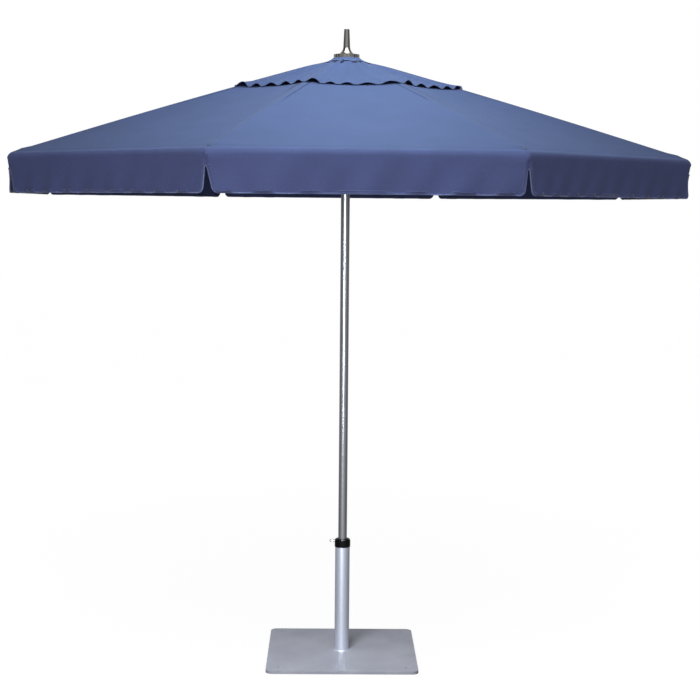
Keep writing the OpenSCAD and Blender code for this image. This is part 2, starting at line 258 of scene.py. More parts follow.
canvas = finish("woven_acrylic_canvas",
                {"Roughness": 0.88, "Sheen Weight": 0.18, "Sheen Roughness": 0.45,
                 "Sheen Tint": linear("#A9B6DC"), "Specular IOR Level": 0.25},
                colour=canvas_colour, height=weave, bump_mm=0.35, strength=0.35)

print("canvas weave drawn every", THREAD_MM, "mm")

# %% [markdown]
# ## Metals
# The pole is drawn aluminium tube, anodised: the drawing leaves fine lines along it and the
# anodising softens the reflections, so it shows long soft stripes. The finial is turned and
# polished, so it mirrors the room and only its edges go dark. Fixings are zinc-plated steel.

# %% Metal materials


def drawn_lines(tree):
    return noise_of(tree, 2.0, 3.0, stretch=(1, 1, 0.01))


def turned_lines(tree):
    return noise_of(tree, 1.5, 2.0, stretch=(0.02, 0.02, 1))


anodised = finish("anodised_aluminium",
                  {"Base Color": linear("#DCDDDF"), "Metallic": 0.85, "Anisotropic": 0.3},
                  roughness=lambda tree: add_node(
                      tree, "MapRange", {"To Min": 0.27, "To Max": 0.29},
                      {"Value": drawn_lines(tree)}).outputs["Result"],
                  height=drawn_lines, bump_mm=0.01, strength=0.06)
polished = finish("polished_aluminium",
                  {"Base Color": linear("#DEDDD9"), "Metallic": 1.0},
                  roughness=lambda tree: add_node(
                      tree, "MapRange", {"To Min": 0.08, "To Max": 0.16},
                      {"Value": turned_lines(tree)}).outputs["Result"],
                  height=turned_lines, bump_mm=0.02, strength=0.2)
zinc = finish("zinc_plated_steel",
              {"Metallic": 1.0, "Roughness": 0.3},
              colour=lambda tree: ramp(tree, noise_of(tree, 4, 3.0), [(0.3, "#B4B6B8"),
                                                                      (0.7, "#D2D3D2")]),
              height=lambda tree: noise_of(tree, 1.2), bump_mm=0.04)
print("metals:", [m.name for m in (anodised, polished, zinc)])

# %% [markdown]
# ## Powder coat
# The base is steel with baked powder coat. The powder flows out to a fine orange peel, about a
# millimetre across, and the silver one on the stem holds tiny metal flakes. The plate's coat is
# duller, and it shows faint scuffs where feet and chairs have brushed it.

# %% Powder-coat materials


def orange_peel(tree):
    return noise_of(tree, 1.6, 1.0)


def flakes(dark, light):
    return lambda tree: ramp(tree, noise_of(tree, 2.2, 2.0), [(0.3, dark), (0.7, light)])


def scuffed(tree):
    patches = noise_of(tree, 90, 5.0)
    return add_node(tree, "MapRange", {"From Min": 0.35, "From Max": 0.7, "To Min": 0.43,
                                       "To Max": 0.5}, {"Value": patches}).outputs["Result"]


def plate_colour(tree):
    coat = ramp(tree, noise_of(tree, 2.5, 2.0), [(0.3, "#B2B5BF"), (0.7, "#C0C3CD")])
    dust = ramp(tree, noise_of(tree, 160, 5.0), [(0.35, "#E4E4E8"), (0.65, "#FFFFFF")])
    return add_node(tree, "MixRGB", {"blend_type": "MULTIPLY", "Fac": 0.7},
                    {"Color1": coat, "Color2": dust}).outputs["Color"]


stem_coat = finish("silver_powder_coat",
                   {"Metallic": 0.7, "Roughness": 0.36},
                   colour=flakes("#B4BBC8", "#C6CCD8"), height=orange_peel, bump_mm=0.08)
plate_coat = finish("grey_powder_coat", {"Metallic": 0.15},
                    colour=plate_colour, roughness=scuffed, height=orange_peel, bump_mm=0.1)
print("powder coats:", stem_coat.name, plate_coat.name)

# %% [markdown]
# ## Plastics and rubber
# The collar is moulded ABS with a light gloss, so its rounded rim catches a highlight. The crown
# and the runner are glass-filled nylon, duller and faintly mottled. The glides are rubber.

# %% Plastic and rubber materials


def moulded(name, dark, light, rough, grain_mm, bump_mm):
    return finish(name, {"Roughness": rough},
                  colour=lambda tree: ramp(tree, noise_of(tree, 14, 3.0), [(0.3, dark),
                                                                           (0.7, light)]),
                  height=lambda tree: noise_of(tree, grain_mm), bump_mm=bump_mm)


collar_abs = moulded("black_abs", "#0B0B0D", "#141416", 0.3, 1.2, 0.03)
nylon = moulded("glass_filled_nylon", "#1B1C1F", "#2B2C30", 0.55, 0.9, 0.06)
sleeve_pp = moulded("grey_polypropylene", "#2A2B2E", "#3A3B3F", 0.5, 1.0, 0.05)
rubber = moulded("black_rubber", "#101011", "#1C1C1D", 0.8, 0.8, 0.08)
print("plastics:", [m.name for m in (collar_abs, nylon, sleeve_pp, rubber)])

# %% [markdown]
# ## Dressing the CAD parts
# Each CAD part keeps its mesh and gets its finish. Real edges are never knife-sharp, so the plate
# gets a small bevel, which is what makes its edge catch the light.

# %% Give the CAD parts their finishes
FINISHES = {
    anodised: ["pole"] + [f"{part}_{k}" for part in ("rib", "strut") for k in range(1, 9)],
    polished: ["finial", "finial_disc"],
    zinc: ["clamp_screw", "lock_pin", "crown_pins", "runner_pins", "finial_stud"],
    stem_coat: ["stem_tube", "stem_weld"],
    plate_coat: ["base_plate"],
    collar_abs: ["stem_collar"],
    nylon: ["crown_hub", "runner_hub", "pole_plug", "pole_top_plug"],
    sleeve_pp: ["stem_sleeve"],
    rubber: ["base_glides"],
}


def bevel(piece, width_mm, segments=2):
    edge = piece.modifiers.new("eased_edges", "BEVEL")
    edge.width, edge.segments, edge.limit_method = width_mm * MM, segments, "ANGLE"
    edge.angle_limit = math.radians(50)


for material, nodes in FINISHES.items():
    for name in nodes:
        part = frame["nodes"][name]
        part.data.materials.clear()
        part.data.materials.append(material)
bevel(frame["nodes"]["base_plate"], 2.5, 3)
print("finished", sum(len(nodes) for nodes in FINISHES.values()), "CAD parts")

# %% [markdown]
# ## When the canopy folds
# When the umbrella closes, every rib swings down beside the pole and the eight sides crowd
# together. A real side crumples between its two ribs. Here the cloth pieces don't narrow or
# crumple: each one only gets its own copy of its mesh, and it moves with its body. The vent
# flap sits further in.


# %% [markdown]
# ## Cloth as a grid of points
# A cut panel of canvas is a grid: rows run down the slope and columns run across. A grid keeps
# the faces even, so folds and hems shade smoothly, and the same grid gives the UV map, where one
# unit is one metre of cloth. Solidify then gives the sheet its thickness, always inwards, so the
# outside face stays where it was drawn.

# %% Cloth helpers
CANVAS_MM = 1.0
UP = np.array([0.0, 0.0, 1.0])
TAN = math.tan(HALF)
PITCH = math.atan(SIDE_SLOPE)


def link(name, points, faces, uv, material, body):
    """A smooth mesh with a cloth UV map, riding on a CAD body."""
    mesh = bpy.data.meshes.new(name)
    mesh.from_pydata(points.reshape(-1, 3).tolist(), [], faces)
    corners = np.empty(len(mesh.loops), int)
    mesh.loops.foreach_get("vertex_index", corners)
    mesh.uv_layers.new(name="cloth").data.foreach_set("uv", uv.reshape(-1, 2)[corners].ravel())
    mesh.polygons.foreach_set("use_smooth", [True] * len(mesh.polygons))
    mesh.materials.append(material)
    piece = bpy.data.objects.new(name, mesh)
    bpy.context.collection.objects.link(piece)
    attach(piece, body)
    return piece


def sheet(name, points, uv, body, material=canvas, thick_mm=CANVAS_MM):
    """A grid of points (rows, columns, 3) as a sheet of cloth with thickness."""
    rows, columns = points.shape[:2]
    faces = [(r * columns + c, (r + 1) * columns + c, (r + 1) * columns + c + 1,
              r * columns + c + 1) for r in range(rows - 1) for c in range(columns - 1)]
    piece = link(name, points, faces, uv, material, body)
    solid = piece.modifiers.new("cloth_thickness", "SOLIDIFY")
    solid.thickness, solid.offset, solid.use_even_offset = thick_mm * MM, -1, False
    return piece


def on_side(k, out, along, up):
    """Points given by a side's own directions: out from the pole, along the fold, and up."""
    angle = side_angle(k)
    return (np.asarray(out)[..., None] * outward(angle)
            + np.asarray(along)[..., None] * sideways(angle) + np.asarray(up)[..., None] * UP)


def narrow(piece):
    """Gives a piece its own copy of its mesh; nothing narrows it as the umbrella folds."""
    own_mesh(piece)


# %% [markdown]
# ## Ribbons
# Hems, seams and tapes are long and narrow, and they follow an edge. A closed outline swept along
# a path gives them real thickness and rounded edges, which a flat strip would not have.

# %% Ribbon helper, for hems, seams and tapes


def ribbon(name, path, across, proud, section_mm, body, material):
    """Sweeps a closed section of (across, proud) points along a path, with closed ends."""
    section = np.array(section_mm) * MM
    rings = (path[:, None] + section[None, :, :1] * across[:, None]
             + section[None, :, 1:] * proud[:, None])
    n, m = rings.shape[:2]
    faces = [(i * m + j, i * m + (j + 1) % m, (i + 1) * m + (j + 1) % m, (i + 1) * m + j)
             for i in range(n - 1) for j in range(m)]
    faces += [tuple(range(m)), tuple(range((n - 1) * m, n * m))]
    run = np.concatenate([[0], np.cumsum(np.linalg.norm(np.diff(path, axis=0), axis=1))])
    uv = np.stack([np.repeat(run[:, None], m, 1), np.repeat(section[None, :, 0], n, 0)], -1)
    piece = link(name, rings, faces, uv, material, body)
    shape = bmesh.new()
    shape.from_mesh(piece.data)
    bmesh.ops.recalc_face_normals(shape, faces=shape.faces)
    shape.to_mesh(piece.data)
    shape.free()
    return piece


def directions(path):
    """Unit tangents along a path."""
    step = np.gradient(path, axis=0)
    return step / np.linalg.norm(step, axis=1)[:, None]


print("cloth thickness", CANVAS_MM, "mm; sides", SIDES)

# %% [markdown]
# ## The shape of a stretched side
# A canopy side is a flat cut pulled tight over two ribs. The struts push the ribs up in the
# middle, so the ridges bow and the middle of the side lags behind. At the rim the cloth doesn't
# crease: it rolls over a soft round of a few centimetres and hangs. Both are written as formulas,
# because a sheet under tension is smooth, and then small random lumps break the perfection.

# %% The stretched surface and its fold
RIDGE_BOW = 6 * MM
SIDE_SAG = 5 * MM
RIDGE_ROUND = 12 * MM
POCKET_UP, POCKET_BACK, POCKET_LONG, POCKET_WIDE = (v * MM for v in (3.2, 34, 17, 24))
FOLD_R = 24 * MM
UNDERLAP = 2.2 * MM
ROUND_TURN = math.pi / 2 - PITCH
LEAD = FOLD_R * math.tan(ROUND_TURN / 2)
ROUND_OUT = APOTHEM - LEAD * math.cos(PITCH)
ROUND_LENGTH = FOLD_R * ROUND_TURN


def plane_up(out):
    return RIM_Z + (APOTHEM - out) * SIDE_SLOPE


def bow(out):
    """How far the ribs are pushed up at a distance out, none at the crown or the rim."""
    share = np.clip((out - VENT_IN) / (ROUND_OUT - VENT_IN), 0, 1)
    return np.sin(math.pi * share)


def pocket(out, s):
    """The small bump over the pocket that holds a rib's tip."""
    back, aside = ROUND_OUT - out - POCKET_BACK, (1 - np.abs(s)) * out * TAN
    return POCKET_UP * np.exp(-(back / POCKET_LONG) ** 2 - (aside / POCKET_WIDE) ** 2)


def tension(out, s):
    """Height over the flat side, for s from -1 to 1 across it."""
    ridge, middle = np.abs(s) ** 3, 1 - s ** 2
    from_ridge = np.clip(RIDGE_ROUND - (1 - np.abs(s)) * out * TAN, 0, None)
    crest = math.tan(math.asin(math.sin(PITCH) * math.sin(HALF)))
    return (RIDGE_BOW * ridge * bow(out) - SIDE_SAG * middle * bow(out)
            - from_ridge ** 2 / (2 * RIDGE_ROUND / crest) + pocket(out, s))


def over_fold(distance, under=0.0):
    """Out and up along the rim's round and down the drop, from where the round starts."""
    turn = np.clip(distance / FOLD_R, 0, ROUND_TURN)
    past = np.clip(distance - ROUND_LENGTH, 0, None)
    out = (ROUND_OUT + FOLD_R * (np.sin(PITCH + turn) - math.sin(PITCH))
           - under * np.sin(PITCH + turn))
    up = (plane_up(ROUND_OUT) + FOLD_R * (np.cos(PITCH + turn) - math.cos(PITCH)) - past
          - under * np.cos(PITCH + turn))
    return out, up


def lumps(points, size_mm, seed):
    """Smooth noise from -1 to 1 at each point, with lumps of a given size."""
    flat = points.reshape(-1, 3) / (size_mm * MM)
    values = [noise.noise(Vector(p) + Vector((seed * 7.3, 0, 0))) for p in flat]
    return np.array(values).reshape(points.shape[:-1])


print(f"fold round {FOLD_R / MM:.0f} mm, ridges bow {RIDGE_BOW / MM:.0f} mm")

# %% [markdown]
# ## Eight canopy sides
# Each side runs from the vent hole to just under the rolled rim, where the valance takes over.
# Near its outer corners a real side is drawn in by the pocket that holds the rib's tip, so a few
# small creases run out from there. Each crease is a ridge with a soft bell-shaped section.

# %% Build the canopy sides
GORE_ROWS, GORE_COLUMNS = 56, 57
ROUND_ROWS = 10
LUMP_UP, LUMP_MM = 1.6 * MM, 230
CREASES_PER_CORNER = 3
CREASE_UP = 2.6 * MM
TUCK = 0.75 * ROUND_LENGTH


def crease(out, along, place, heading, length, width, height):
    """A soft ridge on a side: its place (out, along), heading in degrees, and size in metres."""
    across = (out - place[0]) * math.sin(heading) - (along - place[1]) * math.cos(heading)
    forward = (out - place[0]) * math.cos(heading) + (along - place[1]) * math.sin(heading)
    return height * np.exp(-(across / width) ** 2 - (forward / length) ** 2)


def canopy_side(k):
    rng = np.random.default_rng(100 + k)
    slope_run = (ROUND_OUT - HOLE_OUT) / math.cos(PITCH)
    run = np.concatenate([np.linspace(0, slope_run, GORE_ROWS)[:-1],
                          slope_run + np.linspace(0, TUCK, ROUND_ROWS)])
    s = np.linspace(-1, 1, GORE_COLUMNS)
    s = np.sign(s) * (1 - (1 - np.abs(s)) ** 1.25)
    run, s = np.meshgrid(run, s, indexing="ij")
    rolled_out, rolled_up = over_fold(run - slope_run, UNDERLAP)
    out = np.where(run < slope_run, HOLE_OUT + run * math.cos(PITCH), rolled_out)
    up = np.where(run < slope_run, plane_up(out), rolled_up)
    lift = tension(out, s)
    free = (1 - s ** 4) * np.clip((slope_run - run) / 0.05, 0, 1)
    lift += LUMP_UP * lumps(on_side(k, out, s * out * TAN, up), LUMP_MM, k) * free
    for end in (-1, 1):
        for _ in range(CREASES_PER_CORNER):
            heading = math.radians(rng.uniform(-150, -105)) * end
            place = (ROUND_OUT - rng.uniform(0.012, 0.05),
                     end * (APOTHEM * TAN - rng.uniform(0.03, 0.09)))
            lift += crease(out, s * out * TAN, place, heading, rng.uniform(0.02, 0.05),
                           rng.uniform(0.005, 0.009), rng.uniform(-1, 1) * CREASE_UP
                           ) * np.clip((slope_run - run) / 0.012, 0, 1) * (1 - s ** 40)
    out, up = out + lift * math.sin(PITCH), up + lift * math.cos(PITCH)
    points = on_side(k, out, s * out * TAN, up)
    piece = sheet(f"canopy_side_{k}", points, np.stack([s * out * TAN, run], -1), f"side_{k}")
    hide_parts(f"canopy_panel_{k}")
    narrow(piece)
    return piece


canopy = {k: canopy_side(k) for k in range(1, SIDES + 1)}
print("canopy sides:", len(canopy), "with", len(canopy[1].data.vertices), "points each")

# %% [markdown]
# ## Stitched canvas
# Hems and seams carry rows of stitches. The ribbon's UV map has metres along it in U and metres
# across it in V, so a row of stitches is wherever V is near the row's place, broken into dashes
# along U. Real stitches are 3 to 4 mm long and under a millimetre wide, and they are drawn about
# twice as coarse so that they show. On the hems the dark row drawn that wide is also painted
# shade, standing in for the shade of the puckered cloth above the edge, and the paler edge is a
# painted highlight.

# %% Stitched materials
STITCH_MM = 9.0
STITCH_WIDE_MM = 1.1


def dashes(tree, rows_mm):
    """1 on the stitches and 0 elsewhere, for rows at places across the ribbon."""
    cloth = add_node(tree, "SeparateXYZ",
                     links={"Vector": add_node(tree, "TexCoord").outputs["UV"]})
    half = STITCH_MM * MM / 2
    sawn = add_node(tree, "Math", {"operation": "PINGPONG"})
    tree.links.new(cloth.outputs["X"], sawn.inputs[0])
    sawn.inputs[1].default_value = half
    mask = add_node(tree, "Math", {"operation": "GREATER_THAN"})
    tree.links.new(sawn.outputs["Value"], mask.inputs[0])
    mask.inputs[1].default_value = half * 0.3
    total = None
    for row in rows_mm:
        near = add_node(tree, "Math", {"operation": "COMPARE"})
        tree.links.new(cloth.outputs["Y"], near.inputs[0])
        near.inputs[1].default_value = row * MM
        near.inputs[2].default_value = STITCH_WIDE_MM * MM
        if total:
            both = add_node(tree, "Math", {"operation": "MAXIMUM"})
            tree.links.new(total.outputs["Value"], both.inputs[0])
            tree.links.new(near.outputs["Value"], both.inputs[1])
            near = both
        total = near
    stitched = add_node(tree, "Math", {"operation": "MULTIPLY"})
    tree.links.new(total.outputs["Value"], stitched.inputs[0])
    tree.links.new(mask.outputs["Value"], stitched.inputs[1])
    return stitched.outputs["Value"]


def stitched_colour(rows_mm, thread_colour, edge_mm=None, edge_colour=None):
    """Canvas with stitches, painted paler nearer the edge than edge_mm: a painted highlight on a
    hem's rounded lip.
    """
    def build(tree):
        cloth = canvas_colour(tree)
        if edge_mm is not None:
            place = add_node(tree, "SeparateXYZ",
                             links={"Vector": add_node(tree, "TexCoord").outputs["UV"]})
            side = add_node(tree, "Math", {"operation": "LESS_THAN"})
            tree.links.new(place.outputs["Y"], side.inputs[0])
            side.inputs[1].default_value = edge_mm * MM
            # The paler colour here is a painted highlight along the hem's rounded lower lip.
            pale = ramp(tree, noise_of(tree, 5), [(0.35, edge_colour), (0.65, "#626E98")])
            cloth = add_node(tree, "MixRGB", links={"Fac": side.outputs["Value"], "Color1": cloth,
                                                    "Color2": pale}).outputs["Color"]
        # On a hem the dark thread, drawn wide, is partly painted shade of the puckered cloth above
        # the edge.
        sewn = add_node(tree, "MixRGB", {"Color2": linear(thread_colour)},
                        {"Fac": dashes(tree, rows_mm), "Color1": cloth})
        return sewn.outputs["Color"]
    return build


def stitched(name, rows_mm, thread_colour, **edge):
    return finish(name, {"Roughness": 0.8, "Sheen Weight": 0.18, "Specular IOR Level": 0.25},
                  colour=stitched_colour(rows_mm, thread_colour, **edge),
                  height=lambda tree: dashes(tree, rows_mm), bump_mm=0.8, strength=0.6)


# The hem's paler edge is a painted highlight, and its wide dark stitch row is partly painted
# shade.
hem_canvas = stitched("hemmed_canvas", (8.0,), "#343C61", edge_mm=1.7, edge_colour="#5A668F")
seam_canvas = stitched("felled_seam_canvas", (-2.2, 2.2), "#2C3455")
print("stitches every", STITCH_MM, "mm")

# %% [markdown]
# ## Seams over the ribs
# Two sides meet over each rib in a felled seam: both edges are folded together and sewn flat, so
# a narrow strip stands a millimetre proud. Under it runs a wider tape that takes the rib's rub.
# Both belong to the rib, and when the umbrella is folded they cover the valley between two sides.

# %% Build the seams and tapes
SEAM_SECTION = [(-4, -0.9), (-3.4, 0.1), (-0.8, 0.7), (0.8, 0.7), (3.4, 0.1), (4, -0.9), (0, -0.6)]
CREST = math.tan(math.asin(math.sin(PITCH) * math.sin(HALF)))


def ridge_path(k, start_out, end_out, raise_by=0.0, steps=60):
    """Points along the seam over rib k, from one distance out to another."""
    out = np.linspace(start_out, end_out, steps)
    lift = tension(out, np.ones(steps)) + raise_by
    out, up = out + lift * math.sin(PITCH), plane_up(out) + lift * math.cos(PITCH)
    return out[:, None] / math.cos(HALF) * outward(rib_angle(k)) + up[:, None] * UP


def over_rib(name, k, path, section, material):
    """A ribbon that lies across rib k."""
    across = np.repeat(sideways(rib_angle(k))[None], len(path), 0)
    proud = np.cross(directions(path), across)
    return ribbon(name, path, across, proud, section, f"rib_{k}", material)


def tape_section(half_width):
    """A flat tape bent over the ridge to the slope of the two sides."""
    drop = half_width * CREST
    return [(-half_width, -drop), (0, 0), (half_width, -drop),
            (half_width, -drop - 0.7), (0, -0.7), (-half_width, -drop - 0.7)]


for k in range(1, SIDES + 1):
    seam = over_rib(f"rib_seam_{k}", k, ridge_path(k, HOLE_OUT + 0.002, ROUND_OUT), SEAM_SECTION,
                    seam_canvas)
    tape = over_rib(f"rib_tape_{k}", k,
                    ridge_path(k, VENT_IN + 0.02, ROUND_OUT - 0.04, -1.3 * MM),
                    tape_section(20), canvas)
print("seams and tapes over", SIDES, "ribs")

# %% [markdown]
# ## Valances
# A valance is sewn along the rim and hangs free. It starts where the rim begins to roll, so its
# top edge reads as the seam it is. Next to each corner it is sewn to its neighbour for 57 mm and
# then cut away into a slit with a round top and round lower corners. It never hangs quite flat:
# slow waves grow towards the hem, and each free corner swings in or out a little.

# %% The valance's outline
SEWN = 57 * MM
SLIT_TOP = 4 * MM
SLIT_ROUND = 16 * MM
CORNER_ROUND = 16 * MM
SEAM_DIP = 4 * MM
TIP_ROOM = 18 * MM
SEAM_DIP_WIDE = 8 * MM
DROP_LENGTH = ROUND_LENGTH + (plane_up(ROUND_OUT) + FOLD_R * (math.sin(0) - math.cos(PITCH))
                              - HEM_Z)


def slit_half(depth, flare):
    """How far a slit's edge is from the corner, at a depth below the rim."""
    below = np.clip(depth - SEWN, 0, None)
    arch = SLIT_TOP * np.sqrt(np.clip(below / (2 * SLIT_TOP), 0, 1))
    open_up = flare * (below / (DROP - SEWN)) ** 1.15
    nearing = np.clip(depth - (DROP - SLIT_ROUND), 0, SLIT_ROUND)
    rounded = SLIT_ROUND - np.sqrt(np.clip(SLIT_ROUND ** 2 - nearing ** 2, 0, None))
    return arch + open_up + rounded


def valance_rows():
    """Distances down the cloth, closer together on the roll, the slit's top and the hem."""
    parts = [np.linspace(0, ROUND_LENGTH, 12), np.linspace(ROUND_LENGTH, 0.052, 6)]
    top = DROP_LENGTH - DROP + SEWN
    parts += [np.linspace(0.056, top, 4), top + np.array([0.5, 1.5, 3, 5, 8]) * MM]
    parts += [np.linspace(top + 0.014, DROP_LENGTH - SLIT_ROUND, 10)]
    parts += [DROP_LENGTH - SLIT_ROUND * (1 - np.sin(np.linspace(0.15, 1, 9) * math.pi / 2))]
    return np.unique(np.concatenate(parts))


print(f"valance cloth is {DROP_LENGTH:.3f} m from the seam to the hem")

# %% Build the valances and their hems
VALANCE_COLUMNS = 121
VALANCE_LEAN = 5.0 * MM
TOP_BULGE = 3.5 * MM
SWING_REACH = 0.075
HEM_SECTION = [(-1.1, -0.5), (-0.7, 0.7), (0.8, 1.3), (3.2, 1.2), (7.2, 0.9), (8.0, 0.5),
               (9.0, 0.8), (11.5, 0.6), (12.2, 0.0), (12.2, -1.0), (11.5, -1.6), (3.2, -2.2),
               (0.8, -2.2), (-0.7, -1.7)]


def valance_points(run, s, flare, swing, wave):
    """The hanging cloth at distances down it (run) and shares across it (s)."""
    out, up = over_fold(run)
    depth = RIM_Z - up
    lower = np.clip((depth - 0.02) / (DROP - 0.02), 0, None)
    free = np.clip((depth - SEWN) / (DROP - SEWN), 0, None)
    top_bulge = np.exp(-((depth - 0.028) / 0.02) ** 2) * TOP_BULGE
    lean = -VALANCE_LEAN * lower + top_bulge * np.abs(s) ** 8
    ends = np.exp(-(1 - np.abs(s)) * APOTHEM * TAN / SWING_REACH)
    swung = np.where(s < 0, swing[0], swing[1]) * free ** 1.5 * ends
    place = s * APOTHEM * TAN
    waves = sum(height * np.sin(place / length * 2 * math.pi + phase + 3 * depth / length)
                for height, length, phase in wave)
    out = out + lean + swung + waves * lower ** 1.2 * (1 - ends * (1 - free))
    near = np.clip(CORNER_ROUND - (1 - np.abs(s)) * out * TAN, 0, None)
    below_tip = np.clip((depth - TIP_ROOM) / TIP_ROOM, 0, 1)
    out = out - near ** 2 / (2 * CORNER_ROUND / TAN) * (1 - free) * below_tip
    from_corner = (1 - np.abs(s)) * APOTHEM * TAN
    out = out - SEAM_DIP * np.exp(-(from_corner / SEAM_DIP_WIDE) ** 2) * below_tip * (free <= 0)
    flares = np.where(s < 0, flare[0], flare[1])
    hanging = out * TAN - slit_half(depth, flares)
    return out, s * hanging, up


def valance(k):
    rng = np.random.default_rng(200 + k)
    flare = rng.uniform((13, 4), (19, 9)) * MM
    swing = rng.uniform(-5, 7, 2) * MM
    wave = [(rng.uniform(1.6, 2.6) * MM, rng.uniform(0.24, 0.42), rng.uniform(0, 6)),
            (rng.uniform(2.4, 3.6) * MM, rng.uniform(0.10, 0.16), rng.uniform(0, 6))]
    s = np.linspace(-1, 1, VALANCE_COLUMNS)
    s = np.sign(s) * (1 - (1 - np.abs(s)) ** 1.6)
    run, s = np.meshgrid(valance_rows(), s, indexing="ij")
    out, along, up = valance_points(run, s, flare, swing, wave)
    points = on_side(k, out, along, up)
    piece = sheet(f"valance_cloth_{k}", points, np.stack([along, run], -1), f"skirt_{k}")
    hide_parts(f"valance_{k}")
    first = int(np.argmax(RIM_Z - up[:, 0] > SEWN))
    border = np.concatenate([points[first:, 0], points[-1, 1:-1], points[first:, -1][::-1]])
    normals = surface_normals(points)
    proud = np.concatenate([normals[first:, 0], normals[-1, 1:-1], normals[first:, -1][::-1]])
    across = np.cross(proud, directions(border))
    across /= np.linalg.norm(across, axis=1)[:, None]
    hem = ribbon(f"valance_hem_{k}", border, across, proud, HEM_SECTION, f"skirt_{k}", hem_canvas)
    for part in (piece, hem):
        narrow(part)
    return piece


def surface_normals(points):
    """Unit normals of a grid of points, facing out of the umbrella."""
    down, right = np.gradient(points, axis=0), np.gradient(points, axis=1)
    normal = np.cross(down, right)
    return normal / np.linalg.norm(normal, axis=-1)[..., None]


valances = {k: valance(k) for k in range(1, SIDES + 1)}
print("valances:", len(valances), "with", len(valances[1].data.vertices), "points each")

# %% [markdown]
# ## Vent flap
# The flap covers the hole that lets wind out of the canopy. It is sewn down at the top and at the
# eight ridges, and tacked between them, so its free edge stands off in low arches and the slack
# above each arch runs up in soft folds. The arches differ in width and height from side to side.

# %% Build the vent flap
VENT_ROWS, VENT_COLUMNS = 36, 101
ARCHES = 5
CAP_DIP, CAP_DIP_AT, CAP_DIP_WIDE = 8 * MM, 0.085, 0.045
HEM_VENT = [(-0.9, -0.4), (-0.5, 0.6), (0.8, 0.9), (5, 0.5), (6, 0.0), (6, -1.0), (0.8, -1.6),
            (-0.5, -1.4)]


def arches(s, rng):
    """Heights of the arches along the flap's edge, with a flat tacked stretch between them."""
    widths = rng.uniform(0.75, 1.3, ARCHES)
    ends = np.concatenate([[0], np.cumsum(widths) / widths.sum()]) * 2 - 1
    heights = rng.uniform(7, 12, ARCHES) * MM
    heights[0] = rng.uniform(14, 17) * MM
    total = np.zeros_like(s)
    for start, end, height in zip(ends[:-1], ends[1:], heights):
        tacked = rng.uniform(0.06, 0.16) * (end - start)
        share = np.clip((s - start - tacked) / (end - start - 2 * tacked), 0, 1)
        total += height * np.sin(math.pi * share) ** 0.9
    return total


def cap_dip(out, s):
    """How far the flap is pulled down around the cap, less over the ribs."""
    return CAP_DIP * np.exp(-((out - CAP_DIP_AT) / CAP_DIP_WIDE) ** 2) * (1 - 0.5 * s ** 4)


def vent_side(k):
    rng = np.random.default_rng(300 + k)
    out = np.linspace(VENT_IN, VENT_OUT, VENT_ROWS)
    out, s = np.meshgrid(out, np.linspace(-1, 1, VENT_COLUMNS), indexing="ij")
    climb = (VENT_OUT - out) / (VENT_OUT - VENT_IN)
    rise = arches(s, rng)
    waviness = sum(height * MM * np.sin(s * turns + phase) for height, turns, phase in
                   zip((2.2, 1.5, 0.9), rng.uniform(4, 14, 3), rng.uniform(0, 6, 3)))
    lift = VENT_LIFT + tension(out, s) + rise * np.exp(-climb / 0.16)
    lift += waviness * np.sin(math.pi * climb) * (1 - s ** 6)
    lift += 1.5 * MM * (1 - np.exp(-climb / 0.1)) * (1 - s ** 4) - cap_dip(out, s)
    out = out - 0.5 * rise * np.exp(-climb / 0.1)
    run = out / math.cos(PITCH)
    out, up = out + lift * math.sin(PITCH), plane_up(out) + lift * math.cos(PITCH)
    points = on_side(k, out, s * out * TAN, up)
    piece = sheet(f"vent_flap_{k}", points, np.stack([s * out * TAN, run], -1), f"side_{k}")
    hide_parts(f"vent_panel_{k}")
    normals = surface_normals(points)
    border, proud = points[-1], normals[-1]
    across = np.cross(proud, directions(border))
    hem = ribbon(f"vent_hem_{k}", border, across, proud, HEM_VENT, f"side_{k}", seam_canvas)
    for part in (piece, hem):
        narrow(part)
    return piece


vent = {k: vent_side(k) for k in range(1, SIDES + 1)}
for k in range(1, SIDES + 1):
    start, end = VENT_IN + 0.01, VENT_OUT - 0.004
    above = VENT_LIFT - cap_dip(np.linspace(start, end, 60), 1)
    strip = over_rib(f"vent_seam_{k}", k, ridge_path(k, start, end, above), SEAM_SECTION,
                     seam_canvas)
print("vent flap sides:", len(vent))

# %% [markdown]
# ## Top cap
# A small collar of canvas is pinched under the disc and covers the flap's top. It was cut as a
# ring and taken in with one dart, so its skirt waves slightly and has one fold at the front.

# %% Build the top cap
CAP_LOW, CAP_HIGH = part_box("top_cap")
CAP_R = CAP_HIGH.x
CAP_TOP = CAP_HIGH.z
CAP_HEM = CAP_LOW.z - 4 * MM
CAP_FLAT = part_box("finial_disc")[1].x * 1.03
DART = FRONT + math.radians(12)
DART_WIDE = math.radians(5)


